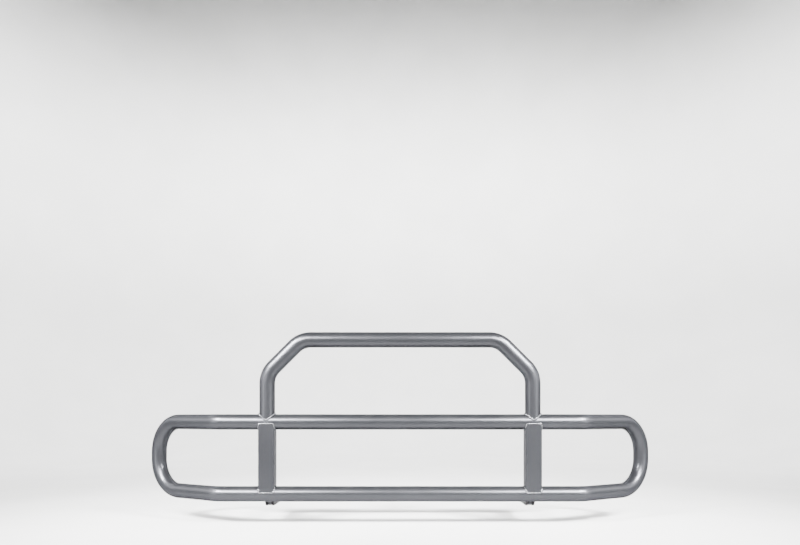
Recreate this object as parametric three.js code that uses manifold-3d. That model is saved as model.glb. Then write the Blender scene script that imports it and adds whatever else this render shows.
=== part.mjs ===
// Tilting front grille guard for a highway tractor.
// Millimetres, +Z up. The guard faces -Y, +X is to the right of someone who faces it,
// and "left" and "right" below mean that person's left and right.
import * as THREE from 'three';
import { mergeVertices } from 'three/addons/utils/BufferGeometryUtils.js';
import Module from 'manifold-3d';

const wasm = await Module();
wasm.setup();

// ---------- driving dimensions ----------

const GAP = 0.3; // clearance left between pieces that touch

// guard tubes
const PIPE_R = 36.5; // outside radius of the round pipe
const PIPE_WALL = 3;
const BEND_R = 1.5 * 2 * PIPE_R; // centreline radius of the pipe bends
const RAIL_HALF = 829; // half the length of the straight stretch of both rails
const RAIL_SPACING = 339; // upper rail's axis above the lower rail's
const WRAP_ANGLE = THREE.MathUtils.degToRad(34); // how far the ends turn back round the bumper
const WRAP_STRAIGHT = 240; // straight stretch between the wrap and the end bend
const END_BEND_R = 152.4; // centreline radius of the two bends that close each end
const POST_X = 626; // hoop legs, uprights and brackets stand at this distance either side
const HOOP_RISE = 726; // axis of the hoop's top above the lower rail's axis
const HOOP_CHAMFER = 160; // height and width of the hoop's cut corners, on the centreline

// square uprights
const UPRIGHT_SIDE = 76.2;
const UPRIGHT_WALL = 4.8;
const UPRIGHT_CORNER = 8;
const UPRIGHT_INSET = 0.8; // front face behind the front of the rails

// tilting bracket, all measured from the pivot
const PIVOT_BEHIND = 84; // pivot behind the rails' axes
const PIVOT_BELOW = 28.5; // pivot below the lower rail's axis
const NOSE_R = 36; // rounded front end of the cheeks
const SWING_T = 16;
const SWING_HUB_R = 28;
const SWING_TOP = 185; // top of the swing plate's fin above the pivot
const HEEL_R = 22;
const LOCK_BEHIND = 91; // lock hole behind the pivot
const THRUST_T = 2;
const CHEEK_T = 9.5;
const FLOOR_T = 6;
const FLOOR_FRONT = 16; // front edge of the floor plate, the stop for the opened guard
const PAD_LENGTH = 44;

// cross member and its mounting flanges
const CROSSBAR_FRONT = 330; // front face behind the rails' axes
const CROSSBAR_DEPTH = 50.8;
const CROSSBAR_HEIGHT = 50.8;
const CROSSBAR_WALL = 4.8;
const CROSSBAR_CORNER = 6;
const CROSSBAR_HALF = 652;
const CAP_T = 5;
const HORN_X = 430; // half the spacing of the truck's frame horns
const STUB_LENGTH = 50;
const STUB_WIDTH = 80;
const STUB_WALL = 6;
const FLANGE_T = 12;
const FLANGE_WIDTH = 200;
const FLANGE_HOLE_R = 11;
const FLANGE_HOLE_X = 70; // hole either side of the flange's middle

// fasteners and latch
const BOLT_R = 10;
const BUSH_R = 15;
const WASHER_R = 18.5;
const WASHER_T = 3;
const HEX_FLATS = 30;
const HEAD_HEIGHT = 12.5;
const NUT_HEIGHT = 16;
const THREAD_END = 5; // bolt end that shows past its nut
const LOCK_PIN_R = 9.5;
const LATCH_TRAVEL = 34;
const LATCH_TIP = 8; // withdrawn pin's tip inside the inner cheek
const HOUSING_R = 19;
const HOUSING_BORE_R = 13.2;
const HOUSING_LENGTH = 62;
const HOUSING_CAP_T = 8;
const COLLAR_T = 4;
const ROD_R = 6;
const KNOB_R = 19;
const KNOB_LENGTH = 30;
const SPRING_R = 10;
const SPRING_WIRE_R = 1.1;
const SPRING_TURNS = 6;

// ---------- derived places ----------

const PIVOT_Z = NOSE_R; // the cheeks' lower edge is the lowest point of the assembly
const LOWER_Z = PIVOT_Z + PIVOT_BELOW;
const UPPER_Z = LOWER_Z + RAIL_SPACING;
const BACK = CROSSBAR_FRONT + CROSSBAR_DEPTH + GAP + STUB_LENGTH + GAP + FLANGE_T;
const RAIL_Y = -(BACK - PIPE_R) / 2; // centres the assembly on Y = 0
const PIVOT_Y = RAIL_Y + PIVOT_BEHIND;
const CHEEK_X = SWING_T / 2 + THRUST_T + 2 * GAP + CHEEK_T / 2; // cheek's middle from the post's
const CHEEK_FACE = CHEEK_X + CHEEK_T / 2;

// ---------- materials ----------

function standard(color, roughness, metalness) {
    return new THREE.MeshStandardMaterial({ color, roughness, metalness });
}

const coat = standard(0x7b7d82, 0.38, 0.55); // satin grey coating of the guard
const blackCoat = standard(0x1d1e20, 0.55, 0.2);
const zinc = standard(0xb4b6b8, 0.35, 1);
const bronze = standard(0xa5854c, 0.4, 1);
const rubber = standard(0x161616, 0.9, 0);
const plastic = standard(0x141516, 0.5, 0);
const springSteel = standard(0x8d9094, 0.4, 1);

// ---------- helpers ----------

const assembly = new THREE.Group();
assembly.name = 'front_grille_guard';

function place(name, geometry, material, x = 0, y = 0, z = 0) {
    const mesh = new THREE.Mesh(geometry, material);
    mesh.name = name;
    mesh.position.set(x, y, z);
    assembly.add(mesh);
}

function toSolid(geometry) {
    const bare = geometry.clone();
    bare.deleteAttribute('normal');
    bare.deleteAttribute('uv');
    const merged = mergeVertices(bare, 1e-3);
    const vertProperties = new Float32Array(merged.attributes.position.array);
    const triVerts = new Uint32Array(merged.index.array);
    return new wasm.Manifold(new wasm.Mesh({ numProp: 3, vertProperties, triVerts }));
}

function toGeometry(solid) {
    const { vertProperties, triVerts } = solid.getMesh();
    const geometry = new THREE.BufferGeometry();
    geometry.setAttribute('position', new THREE.BufferAttribute(vertProperties, 3));
    geometry.setIndex(new THREE.BufferAttribute(triVerts, 1));
    geometry.computeVertexNormals();
    return geometry;
}

function cut(geometry, ...tools) {
    return toGeometry(tools.reduce((solid, tool) => solid.subtract(toSolid(tool)), toSolid(geometry)));
}

function circlePoints(radius, count) {
    return Array.from({ length: count }, (_, i) => {
        const angle = (2 * Math.PI * i) / count;
        return new THREE.Vector2(radius * Math.cos(angle), radius * Math.sin(angle));
    });
}

function roundHole(y, z, radius, count = 24) {
    const hole = new THREE.Path();
    hole.setFromPoints(circlePoints(radius, count).map((p) => new THREE.Vector2(y + p.x, z + p.y)));
    return hole;
}

function roundedRectangle(width, height, corner) {
    const shape = new THREE.Shape();
    const x = width / 2 - corner;
    const y = height / 2 - corner;
    shape.absarc(x, y, corner, 0, Math.PI / 2);
    shape.absarc(-x, y, corner, Math.PI / 2, Math.PI);
    shape.absarc(-x, -y, corner, Math.PI, 1.5 * Math.PI);
    shape.absarc(x, -y, corner, 1.5 * Math.PI, 2 * Math.PI);
    return shape;
}

// A prism of a shape drawn in the XY plane, centred on its own length along Z.
function prism(shape, length, curveSegments = 2) {
    const settings = { depth: length, bevelEnabled: false, curveSegments };
    return new THREE.ExtrudeGeometry(shape, settings).translate(0, 0, -length / 2);
}

// A plate drawn in the YZ plane, centred on its own thickness along X.
function sidePlate(shape, thickness, curveSegments = 6) {
    const turn = new THREE.Matrix4().makeBasis(
        new THREE.Vector3(0, 1, 0), new THREE.Vector3(0, 0, 1), new THREE.Vector3(1, 0, 0));
    return prism(shape, thickness, curveSegments).applyMatrix4(turn);
}

// Square or round tube stock as a prism along Z.
function rectangularTube(width, height, wall, corner, length) {
    const shape = roundedRectangle(width, height, corner);
    shape.holes.push(roundedRectangle(width - 2 * wall, height - 2 * wall, corner - wall / 2));
    return prism(shape, length);
}

// A ring, or a stepped sleeve, turned about the X axis. The profile is a closed list of
// [distance inboard from the part's origin, radius]; side is -1 on the left and 1 on the right.
function turned(profile, side, segments = 20) {
    const points = [...profile, profile[0]].map(([along, radius]) => new THREE.Vector2(radius, along));
    return new THREE.LatheGeometry(points, segments).rotateZ((side * Math.PI) / 2);
}

function ring(outer, inner, thickness) {
    const half = thickness / 2;
    return turned([[-half, inner], [-half, outer], [half, outer], [half, inner]], 1);
}

// Centreline of a bent pipe, laid down as straights and bends like a bending card.
class BentPath extends THREE.Curve {
    constructor(start, heading) {
        super();
        this.points = [start.clone()];
        this.headings = [heading.clone().normalize()];
    }

    straight(length) {
        const heading = this.headings.at(-1);
        this.points.push(this.points.at(-1).clone().addScaledVector(heading, length));
        this.headings.push(heading.clone());
        return this;
    }

    bend(radius, angle, axis, steps) {
        const heading = this.headings.at(-1).clone();
        const start = this.points.at(-1).clone();
        const inward = new THREE.Vector3().crossVectors(axis, heading).multiplyScalar(Math.sign(angle));
        const centre = start.clone().addScaledVector(inward, radius);
        for (let i = 1; i <= steps; i += 1) {
            const turn = (angle * i) / steps;
            const arm = start.clone().sub(centre).applyAxisAngle(axis, turn);
            this.points.push(centre.clone().add(arm));
            this.headings.push(heading.clone().applyAxisAngle(axis, turn));
        }
        return this;
    }

    station(u) {
        return Math.round(u * (this.points.length - 1));
    }

    getPoint(t, target = new THREE.Vector3()) {
        return target.copy(this.points[this.station(t)]);
    }

    getPointAt(u, target = new THREE.Vector3()) {
        return this.getPoint(u, target);
    }

    getTangentAt(u, target = new THREE.Vector3()) {
        return target.copy(this.headings[this.station(u)]);
    }
}

function pipe(path) {
    const section = new THREE.Shape(circlePoints(PIPE_R, 24));
    section.holes.push(roundHole(0, 0, PIPE_R - PIPE_WALL, 12));
    return new THREE.ExtrudeGeometry(section, { steps: path.points.length - 1, extrudePath: path });
}

// A rod along X that leaves room for a rail at height z, to cope whatever is welded to that rail.
function railCutter(z, length) {
    return new THREE.CylinderGeometry(PIPE_R + GAP, PIPE_R + GAP, length, 36)
        .rotateZ(Math.PI / 2)
        .translate(0, 0, z);
}

const X = new THREE.Vector3(1, 0, 0);
const Y = new THREE.Vector3(0, 1, 0);
const Z = new THREE.Vector3(0, 0, 1);

// ---------- guard: rails, wrapped ends, hoop and uprights ----------

function straightRail() {
    return pipe(new BentPath(new THREE.Vector3(-RAIL_HALF, 0, 0), X).straight(2 * RAIL_HALF));
}

function wrappedEnd(side) {
    const heading = X.clone().multiplyScalar(side);
    const wrapped = heading.clone().applyAxisAngle(Z, side * WRAP_ANGLE);
    const endAxis = new THREE.Vector3().crossVectors(Z, wrapped);
    const path = new BentPath(new THREE.Vector3(side * (RAIL_HALF + GAP), 0, RAIL_SPACING), heading)
        .bend(BEND_R, side * WRAP_ANGLE, Z, 3)
        .straight(WRAP_STRAIGHT)
        .bend(END_BEND_R, Math.PI / 2, endAxis, 7)
        .straight(RAIL_SPACING - 2 * END_BEND_R)
        .bend(END_BEND_R, Math.PI / 2, endAxis, 7)
        .straight(WRAP_STRAIGHT)
        .bend(BEND_R, -side * WRAP_ANGLE, Z, 3);
    return pipe(path);
}

function hoop() {
    const corner = Math.PI / 4;
    const tangent = BEND_R * Math.tan(corner / 2); // straight length that a bend takes from each side
    const leg = HOOP_RISE - RAIL_SPACING - HOOP_CHAMFER - tangent;
    const slope = HOOP_CHAMFER * Math.SQRT2 - 2 * tangent;
    const top = 2 * (POST_X - HOOP_CHAMFER - tangent);
    const path = new BentPath(new THREE.Vector3(-POST_X, 0, 0), Z)
        .straight(leg)
        .bend(BEND_R, corner, Y, 4)
        .straight(slope)
        .bend(BEND_R, corner, Y, 4)
        .straight(top)
        .bend(BEND_R, corner, Y, 4)
        .straight(slope)
        .bend(BEND_R, corner, Y, 4)
        .straight(leg);
    return cut(pipe(path), railCutter(0, 3 * POST_X));
}

function upright() {
    const tube = rectangularTube(
        UPRIGHT_SIDE, UPRIGHT_SIDE, UPRIGHT_WALL, UPRIGHT_CORNER, RAIL_SPACING);
    const shift = UPRIGHT_SIDE / 2 - PIPE_R + UPRIGHT_INSET;
    tube.translate(0, shift, 0);
    const reach = 2 * UPRIGHT_SIDE;
    return cut(tube, railCutter(RAIL_SPACING / 2, reach), railCutter(-RAIL_SPACING / 2, reach));
}

place('upper_rail', straightRail(), coat, 0, RAIL_Y, UPPER_Z);
place('lower_rail', straightRail(), coat, 0, RAIL_Y, LOWER_Z);
place('hoop', hoop(), coat, 0, RAIL_Y, UPPER_Z);

// ---------- swing plate: fin on the upright, pivot hub and locking heel in one plate ----------

function swingPlate() {
    const uprightBack = UPRIGHT_SIDE - PIPE_R + UPRIGHT_INSET - PIVOT_BEHIND + GAP;
    const railReach = PIPE_R + GAP;
    const shape = new THREE.Shape();
    shape.moveTo(uprightBack, SWING_TOP);
    shape.lineTo(uprightBack, PIVOT_BELOW);
    shape.absarc(-PIVOT_BEHIND, PIVOT_BELOW, railReach, 0, -Math.PI / 3, true);
    shape.absarc(0, 0, SWING_HUB_R, -0.6 * Math.PI, Math.asin(-HEEL_R / SWING_HUB_R));
    shape.absarc(LOCK_BEHIND, 0, HEEL_R, -Math.PI / 2, Math.PI / 2);
    shape.lineTo(-4, 52);
    shape.lineTo(-26, SWING_TOP);
    shape.holes.push(roundHole(0, 0, BUSH_R + GAP));
    shape.holes.push(roundHole(LOCK_BEHIND, 0, LOCK_PIN_R + GAP));
    return sidePlate(shape, SWING_T);
}

// ---------- fixed bracket: two cheeks, floor plate and rubber pad ----------

function cheek() {
    const rear = CROSSBAR_FRONT - PIVOT_BEHIND - GAP;
    const shape = new THREE.Shape();
    shape.absarc(0, 0, NOSE_R, 0.48 * Math.PI, 1.5 * Math.PI);
    shape.lineTo(rear, -NOSE_R);
    shape.lineTo(rear, CROSSBAR_HEIGHT - NOSE_R);
    shape.holes.push(roundHole(0, 0, BOLT_R + GAP));
    shape.holes.push(roundHole(LOCK_BEHIND, 0, LOCK_PIN_R + GAP));
    return sidePlate(shape, CHEEK_T);
}

function floorPlate() {
    const width = 2 * (CHEEK_X - CHEEK_T / 2 - GAP);
    const length = CROSSBAR_FRONT - PIVOT_BEHIND - GAP - FLOOR_FRONT;
    return new THREE.BoxGeometry(width, length, FLOOR_T)
        .translate(0, FLOOR_FRONT + length / 2, FLOOR_T / 2 - NOSE_R);
}

function bumpPad() {
    const bottom = FLOOR_T - NOSE_R + GAP;
    const height = -HEEL_R - GAP - bottom;
    return new THREE.BoxGeometry(SWING_T, PAD_LENGTH, height)
        .translate(0, LOCK_BEHIND - PAD_LENGTH / 4, bottom + height / 2);
}

// ---------- pivot hardware ----------

function pivotBolt(side) {
    const seat = CHEEK_FACE + WASHER_T + 2 * GAP;
    const reach = seat + NUT_HEIGHT + THREAD_END;
    const head = new THREE.CylinderGeometry(HEX_FLATS / Math.sqrt(3), HEX_FLATS / Math.sqrt(3), HEAD_HEIGHT, 6)
        .translate(0, seat + HEAD_HEIGHT / 2, 0);
    const shank = new THREE.CylinderGeometry(BOLT_R, BOLT_R, seat + reach + 2, 24)
        .translate(0, seat + 2 - (seat + reach + 2) / 2, 0);
    return toGeometry(toSolid(head).add(toSolid(shank))).rotateZ((-side * Math.PI) / 2);
}

function hexNut() {
    const hexagon = new THREE.Shape(circlePoints(HEX_FLATS / Math.sqrt(3), 6));
    hexagon.holes.push(roundHole(0, 0, BOLT_R + GAP));
    return sidePlate(hexagon, NUT_HEIGHT);
}

// ---------- latch: spring plunger on the inner cheek, drawn out ----------

const COLLAR_AT = LATCH_TRAVEL + 0.5; // inboard of the cheek's face when the pin is withdrawn
const KNOB_AT = HOUSING_LENGTH + HOUSING_CAP_T + LATCH_TRAVEL + 1;

function latchHousing(side) {
    const [near, far] = [GAP, HOUSING_LENGTH];
    return turned([[near, HOUSING_BORE_R], [near, HOUSING_R], [far, HOUSING_R], [far, HOUSING_BORE_R]], side);
}

function latchCap(side) {
    const near = HOUSING_LENGTH + GAP;
    const far = near + HOUSING_CAP_T - GAP;
    const bore = ROD_R + GAP;
    return turned([[near, bore], [near, HOUSING_R], [far - 2, HOUSING_R], [far, HOUSING_R - 2], [far, bore]], side);
}

function latchPin(side) {
    const profile = [
        [-LATCH_TIP, 0],
        [-LATCH_TIP, LOCK_PIN_R - 2],
        [2 - LATCH_TIP, LOCK_PIN_R],
        [COLLAR_AT, LOCK_PIN_R],
        [COLLAR_AT, HOUSING_BORE_R - GAP],
        [COLLAR_AT + COLLAR_T, HOUSING_BORE_R - GAP],
        [COLLAR_AT + COLLAR_T, ROD_R],
        [KNOB_AT + KNOB_LENGTH / 2, ROD_R],
        [KNOB_AT + KNOB_LENGTH / 2, 0],
    ];
    return turned(profile, side);
}

function latchKnob(side) {
    const bore = ROD_R + GAP;
    const floor = KNOB_LENGTH / 2 + GAP;
    const profile = [
        [0, bore],
        [0, 0.55 * KNOB_R],
        [0.3 * KNOB_LENGTH, 0.55 * KNOB_R],
        [0.45 * KNOB_LENGTH, KNOB_R],
        [0.8 * KNOB_LENGTH, KNOB_R],
        [0.95 * KNOB_LENGTH, 0.75 * KNOB_R],
        [KNOB_LENGTH, 0],
        [floor, 0],
        [floor, bore],
    ];
    return turned(profile.map(([along, radius]) => [KNOB_AT + along, radius]), side);
}

class Helix extends THREE.Curve {
    constructor(radius, length, turns) {
        super();
        Object.assign(this, { radius, length, turns });
    }

    getPoint(t, target = new THREE.Vector3()) {
        const angle = 2 * Math.PI * this.turns * t;
        return target.set(this.length * t, this.radius * Math.cos(angle), this.radius * Math.sin(angle));
    }
}

function latchSpring(side) {
    const start = COLLAR_AT + COLLAR_T + SPRING_WIRE_R + 2 * GAP;
    const end = HOUSING_LENGTH - SPRING_WIRE_R - GAP;
    const path = new Helix(SPRING_R, end - start, SPRING_TURNS);
    const wire = new THREE.Shape(circlePoints(SPRING_WIRE_R, 6));
    return new THREE.ExtrudeGeometry(wire, { steps: SPRING_TURNS * 10, extrudePath: path })
        .translate(start, 0, 0)
        .rotateZ(side > 0 ? Math.PI : 0);
}

// ---------- cross member, horn stubs and flanges ----------

function crossbar() {
    const tube = rectangularTube(
        CROSSBAR_HEIGHT, CROSSBAR_DEPTH, CROSSBAR_WALL, CROSSBAR_CORNER, 2 * CROSSBAR_HALF);
    return tube.rotateY(Math.PI / 2);
}

function crossbarCap() {
    const outline = roundedRectangle(CROSSBAR_HEIGHT, CROSSBAR_DEPTH, CROSSBAR_CORNER);
    return prism(outline, CAP_T).rotateY(Math.PI / 2);
}

function hornStub() {
    const tube = rectangularTube(STUB_WIDTH, CROSSBAR_HEIGHT, STUB_WALL, CROSSBAR_CORNER, STUB_LENGTH);
    return tube.rotateX(Math.PI / 2);
}

function mountFlange() {
    const plate = roundedRectangle(FLANGE_WIDTH, CROSSBAR_HEIGHT, CROSSBAR_CORNER);
    plate.holes.push(roundHole(-FLANGE_HOLE_X, 0, FLANGE_HOLE_R));
    plate.holes.push(roundHole(FLANGE_HOLE_X, 0, FLANGE_HOLE_R));
    return prism(plate, FLANGE_T).rotateX(Math.PI / 2);
}

const crossbarY = RAIL_Y + CROSSBAR_FRONT + CROSSBAR_DEPTH / 2;
const stubY = RAIL_Y + CROSSBAR_FRONT + CROSSBAR_DEPTH + GAP + STUB_LENGTH / 2;
const flangeY = stubY + STUB_LENGTH / 2 + GAP + FLANGE_T / 2;
const crossbarZ = CROSSBAR_HEIGHT / 2;

place('crossbar', crossbar(), blackCoat, 0, crossbarY, crossbarZ);

// ---------- everything that comes in a left and a right ----------

for (const [hand, side] of [['left', -1], ['right', 1]]) {
    const x = side * POST_X;
    const inboard = -side; // direction of the truck's centreline
    const thrustX = (SWING_T + THRUST_T) / 2 + GAP;
    const washerX = CHEEK_FACE + GAP + WASHER_T / 2;
    const nutX = CHEEK_FACE + 2 * GAP + WASHER_T + NUT_HEIGHT / 2;
    const latchX = x + inboard * CHEEK_FACE;
    const lockY = PIVOT_Y + LOCK_BEHIND;

    place(`${hand}_end_loop`, wrappedEnd(side), coat, 0, RAIL_Y, LOWER_Z);
    place(`${hand}_upright`, upright(), coat, x, RAIL_Y, LOWER_Z + RAIL_SPACING / 2);
    place(`${hand}_swing_plate`, swingPlate(), coat, x, PIVOT_Y, PIVOT_Z);
    place(`${hand}_pivot_bush`, ring(BUSH_R, BOLT_R + GAP, SWING_T), bronze, x, PIVOT_Y, PIVOT_Z);

    place(`${hand}_inner_cheek`, cheek(), blackCoat, x + inboard * CHEEK_X, PIVOT_Y, PIVOT_Z);
    place(`${hand}_outer_cheek`, cheek(), blackCoat, x - inboard * CHEEK_X, PIVOT_Y, PIVOT_Z);
    place(`${hand}_floor_plate`, floorPlate(), blackCoat, x, PIVOT_Y, PIVOT_Z);
    place(`${hand}_bump_pad`, bumpPad(), rubber, x, PIVOT_Y, PIVOT_Z);
    for (const [where, direction] of [['inner', inboard], ['outer', -inboard]]) {
        const thrust = ring(1.2 * WASHER_R, BOLT_R + GAP, THRUST_T);
        place(`${hand}_thrust_washer_${where}`, thrust, bronze, x + direction * thrustX, PIVOT_Y, PIVOT_Z);
        const washer = ring(WASHER_R, BOLT_R + GAP, WASHER_T);
        place(`${hand}_pivot_washer_${where}`, washer, zinc, x + direction * washerX, PIVOT_Y, PIVOT_Z);
    }
    place(`${hand}_pivot_bolt`, pivotBolt(side), zinc, x, PIVOT_Y, PIVOT_Z);
    place(`${hand}_pivot_nut`, hexNut(), zinc, x + inboard * nutX, PIVOT_Y, PIVOT_Z);

    place(`${hand}_latch_housing`, latchHousing(side), blackCoat, latchX, lockY, PIVOT_Z);
    place(`${hand}_latch_cap`, latchCap(side), zinc, latchX, lockY, PIVOT_Z);
    place(`${hand}_latch_spring`, latchSpring(side), springSteel, latchX, lockY, PIVOT_Z);
    place(`${hand}_latch_pin`, latchPin(side), zinc, latchX, lockY, PIVOT_Z);
    place(`${hand}_latch_knob`, latchKnob(side), plastic, latchX, lockY, PIVOT_Z);

    const capX = side * (CROSSBAR_HALF + GAP + CAP_T / 2);
    place(`${hand}_crossbar_cap`, crossbarCap(), plastic, capX, crossbarY, crossbarZ);
    place(`${hand}_horn_stub`, hornStub(), blackCoat, side * HORN_X, stubY, crossbarZ);
    place(`${hand}_mount_flange`, mountFlange(), blackCoat, side * HORN_X, flangeY, crossbarZ);
}

export default assembly;
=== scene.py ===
# %% [markdown]
# # A tilting grille guard for a highway tractor
#
# The guard is welded from bent steel pipe. It tilts forward on two pivots, so that the truck's
# hood can open over it, and two spring latches lock it upright. The imported CAD model gives every
# place and size. This file gives each piece its finished surface: smooth bends, weld beads,
# chamfered edges, threads and coatings.
#
# The first step loads that model.

# %% Load the frame
from math import asin, atan2, ceil, cos, hypot, pi, radians, sin, sqrt, tan

import bmesh
import bpy
from mathutils import Matrix, Vector


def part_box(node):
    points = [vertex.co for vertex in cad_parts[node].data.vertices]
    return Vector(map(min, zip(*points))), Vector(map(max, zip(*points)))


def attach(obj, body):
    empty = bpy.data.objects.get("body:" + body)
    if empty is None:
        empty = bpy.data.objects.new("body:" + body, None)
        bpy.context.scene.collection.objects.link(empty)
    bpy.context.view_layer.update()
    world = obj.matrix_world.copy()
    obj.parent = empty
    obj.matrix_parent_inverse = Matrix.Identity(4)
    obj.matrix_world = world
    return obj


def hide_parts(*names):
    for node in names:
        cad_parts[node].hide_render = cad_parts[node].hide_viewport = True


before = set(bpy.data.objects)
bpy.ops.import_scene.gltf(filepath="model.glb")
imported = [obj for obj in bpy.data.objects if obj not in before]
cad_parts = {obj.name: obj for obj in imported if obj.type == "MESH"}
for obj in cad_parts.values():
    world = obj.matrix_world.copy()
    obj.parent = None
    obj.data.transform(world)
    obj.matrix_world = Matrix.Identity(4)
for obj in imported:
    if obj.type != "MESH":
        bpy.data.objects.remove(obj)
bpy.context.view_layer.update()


# %% [markdown]
# ## Places that the CAD model gives
#
# A helper turns a node's box into its middle and its size. From the rails come the pipe's radius
# and the height of both axes, and from the uprights the distance of the posts from the middle.

# %% Read the main places from the frame
def middle(node):
    low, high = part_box(node)
    return (low + high) / 2


def size(node):
    low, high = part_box(node)
    return high - low


GAP = 0.0003
PIPE_R = size("lower_rail").z / 2
RAIL_Y = middle("lower_rail").y
LOWER_Z = middle("lower_rail").z
UPPER_Z = middle("upper_rail").z
RAIL_HALF = size("upper_rail").x / 2
POST_X = middle("right_upright").x
HOOP_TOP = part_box("hoop")[1].z
PIVOT = middle("right_pivot_bush")
LATCH = middle("right_latch_housing")
print(f"pipe radius {PIPE_R:.4f}, rails at {LOWER_Z:.3f} and {UPPER_Z:.3f}, posts at {POST_X:.3f}")

# %% [markdown]
# ## Camera
#
# A person stands a little over three metres in front of the guard and holds the camera level,
# just above the upper rail. The lens shift puts the horizon low in the frame without tilting the
# camera, so the uprights stay parallel.

# %% Camera
CAMERA_DISTANCE = 3.353
CAMERA_ABOVE_RAIL = 0.0235
CAMERA_LENS = 32.0
SHIFT_UP = 0.1806
camera_data = bpy.data.cameras.new("camera")
camera_data.lens = CAMERA_LENS
camera_data.sensor_width = 36.0
camera_data.shift_y = SHIFT_UP
camera = bpy.data.objects.new("camera", camera_data)
camera.location = (0, RAIL_Y - CAMERA_DISTANCE, UPPER_Z + CAMERA_ABOVE_RAIL)
camera.rotation_euler = (radians(90), 0, 0)
bpy.context.scene.collection.objects.link(camera)
bpy.context.scene.camera = camera
print("camera at", [round(v, 3) for v in camera.location])


# %% [markdown]
# ## Making meshes
#
# Nearly every piece here is a row of rings joined by quads: a pipe, a bead of weld, a bolt. One
# function joins the rings, and one turns points and faces into a named piece that rides on its
# body, has its finish and stands for its plain CAD solid. Edges steeper than a set angle stay
# crisp, and the rest is shaded smooth.

# %% Mesh helpers
def loft(rings, closed=False, caps=True):
    count = len(rings[0])
    points = [tuple(p) for ring in rings for p in ring]
    faces = []
    for i in range(len(rings) if closed else len(rings) - 1):
        a = i * count
        b = (i + 1) % len(rings) * count
        for j in range(count):
            k = (j + 1) % count
            faces.append((a + j, a + k, b + k, b + j))
    if caps and not closed:
        for start, ring in ((0, rings[0]), ((len(rings) - 1) * count, rings[-1])):
            points.append(tuple(sum((Vector(p) for p in ring), Vector()) / count))
            hub = len(points) - 1
            for j in range(count):
                k = (j + 1) % count
                faces.append((hub, start + j, start + k) if start else (hub, start + k, start + j))
    return points, faces


def piece(name, shape, body, finish, stands_for=(), crease=35):
    mesh = bpy.data.meshes.new(name)
    mesh.from_pydata(shape[0], [], shape[1])
    tidy_mesh(mesh)
    mesh.shade_smooth()
    mesh.set_sharp_from_angle(angle=radians(crease))
    mesh.materials.append(finish)
    made = bpy.data.objects.new(name, mesh)
    bpy.context.scene.collection.objects.link(made)
    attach(made, body)
    if stands_for:
        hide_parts(*stands_for)
    return made


def tidy_mesh(mesh):
    work = bmesh.new()
    work.from_mesh(mesh)
    bmesh.ops.remove_doubles(work, verts=work.verts, dist=1e-6)
    bmesh.ops.recalc_face_normals(work, faces=work.faces)
    work.to_mesh(mesh)
    work.free()
    mesh.update()


print("mesh helpers ready")


# %% [markdown]
# ## Finishes
#
# Every finish starts from the same shader. Small helpers add noise at a real size, given in
# metres, and turn it into colour, roughness or relief. Real coatings are never even: colour
# drifts over a hand's width, gloss changes where hands and rain have been, and the surface has a
# fine skin of its own.

# %% Helpers for finishes
class Finish:
    def __init__(self, name, colour, roughness, metallic):
        self.material = bpy.data.materials.new(name)
        self.material.use_nodes = True
        self.tree = self.material.node_tree
        self.shader = self.tree.nodes["Principled BSDF"]
        self.place = self.tree.nodes.new("ShaderNodeTexCoord").outputs["Object"]
        self.shader.inputs["Base Color"].default_value = (*colour, 1)
        self.shader.inputs["Roughness"].default_value = roughness
        self.shader.inputs["Metallic"].default_value = metallic
        self.relief = None

    def noise(self, grain, detail=3.0, stretch=(1, 1, 1)):
        spread = self.tree.nodes.new("ShaderNodeMapping")
        spread.inputs["Scale"].default_value = stretch
        self.tree.links.new(self.place, spread.inputs["Vector"])
        node = self.tree.nodes.new("ShaderNodeTexNoise")
        node.inputs["Scale"].default_value = 1 / grain
        node.inputs["Detail"].default_value = detail
        self.tree.links.new(spread.outputs["Vector"], node.inputs["Vector"])
        return node.outputs["Fac"]

    def band(self, value, low, high, to_low=0.0, to_high=1.0):
        node = self.tree.nodes.new("ShaderNodeMapRange")
        node.inputs["From Min"].default_value = low
        node.inputs["From Max"].default_value = high
        node.inputs["To Min"].default_value = to_low
        node.inputs["To Max"].default_value = to_high
        self.tree.links.new(value, node.inputs["Value"])
        return node.outputs["Result"]

    def combine(self, operation, first, second):
        node = self.tree.nodes.new("ShaderNodeMath")
        node.operation = operation
        for socket, value in zip(node.inputs, (first, second)):
            if isinstance(value, (int, float)):
                socket.default_value = value
            else:
                self.tree.links.new(value, socket)
        return node.outputs["Value"]

    def mix(self, amount, first, second):
        node = self.tree.nodes.new("ShaderNodeMix")
        node.data_type = "RGBA"
        self.tree.links.new(amount, node.inputs["Factor"])
        for socket, value in ((node.inputs["A"], first), (node.inputs["B"], second)):
            if isinstance(value, tuple):
                socket.default_value = (*value, 1)
            else:
                self.tree.links.new(value, socket)
        return node.outputs["Result"]

    def facing_up(self):
        normal = self.tree.nodes.new("ShaderNodeNewGeometry").outputs["Normal"]
        split = self.tree.nodes.new("ShaderNodeSeparateXYZ")
        self.tree.links.new(normal, split.inputs["Vector"])
        return self.band(split.outputs["Z"], 0.25, 0.95)

    def colour(self, value):
        self.tree.links.new(value, self.shader.inputs["Base Color"])

    def roughness(self, value):
        self.tree.links.new(value, self.shader.inputs["Roughness"])

    def emboss(self, height, depth, strength=1.0):
        node = self.tree.nodes.new("ShaderNodeBump")
        node.inputs["Strength"].default_value = strength
        node.inputs["Distance"].default_value = depth
        self.tree.links.new(height, node.inputs["Height"])
        if self.relief is not None:
            self.tree.links.new(self.relief, node.inputs["Normal"])
        self.relief = node.outputs["Normal"]
        self.tree.links.new(self.relief, self.shader.inputs["Normal"])


print("finish helpers ready")
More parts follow.
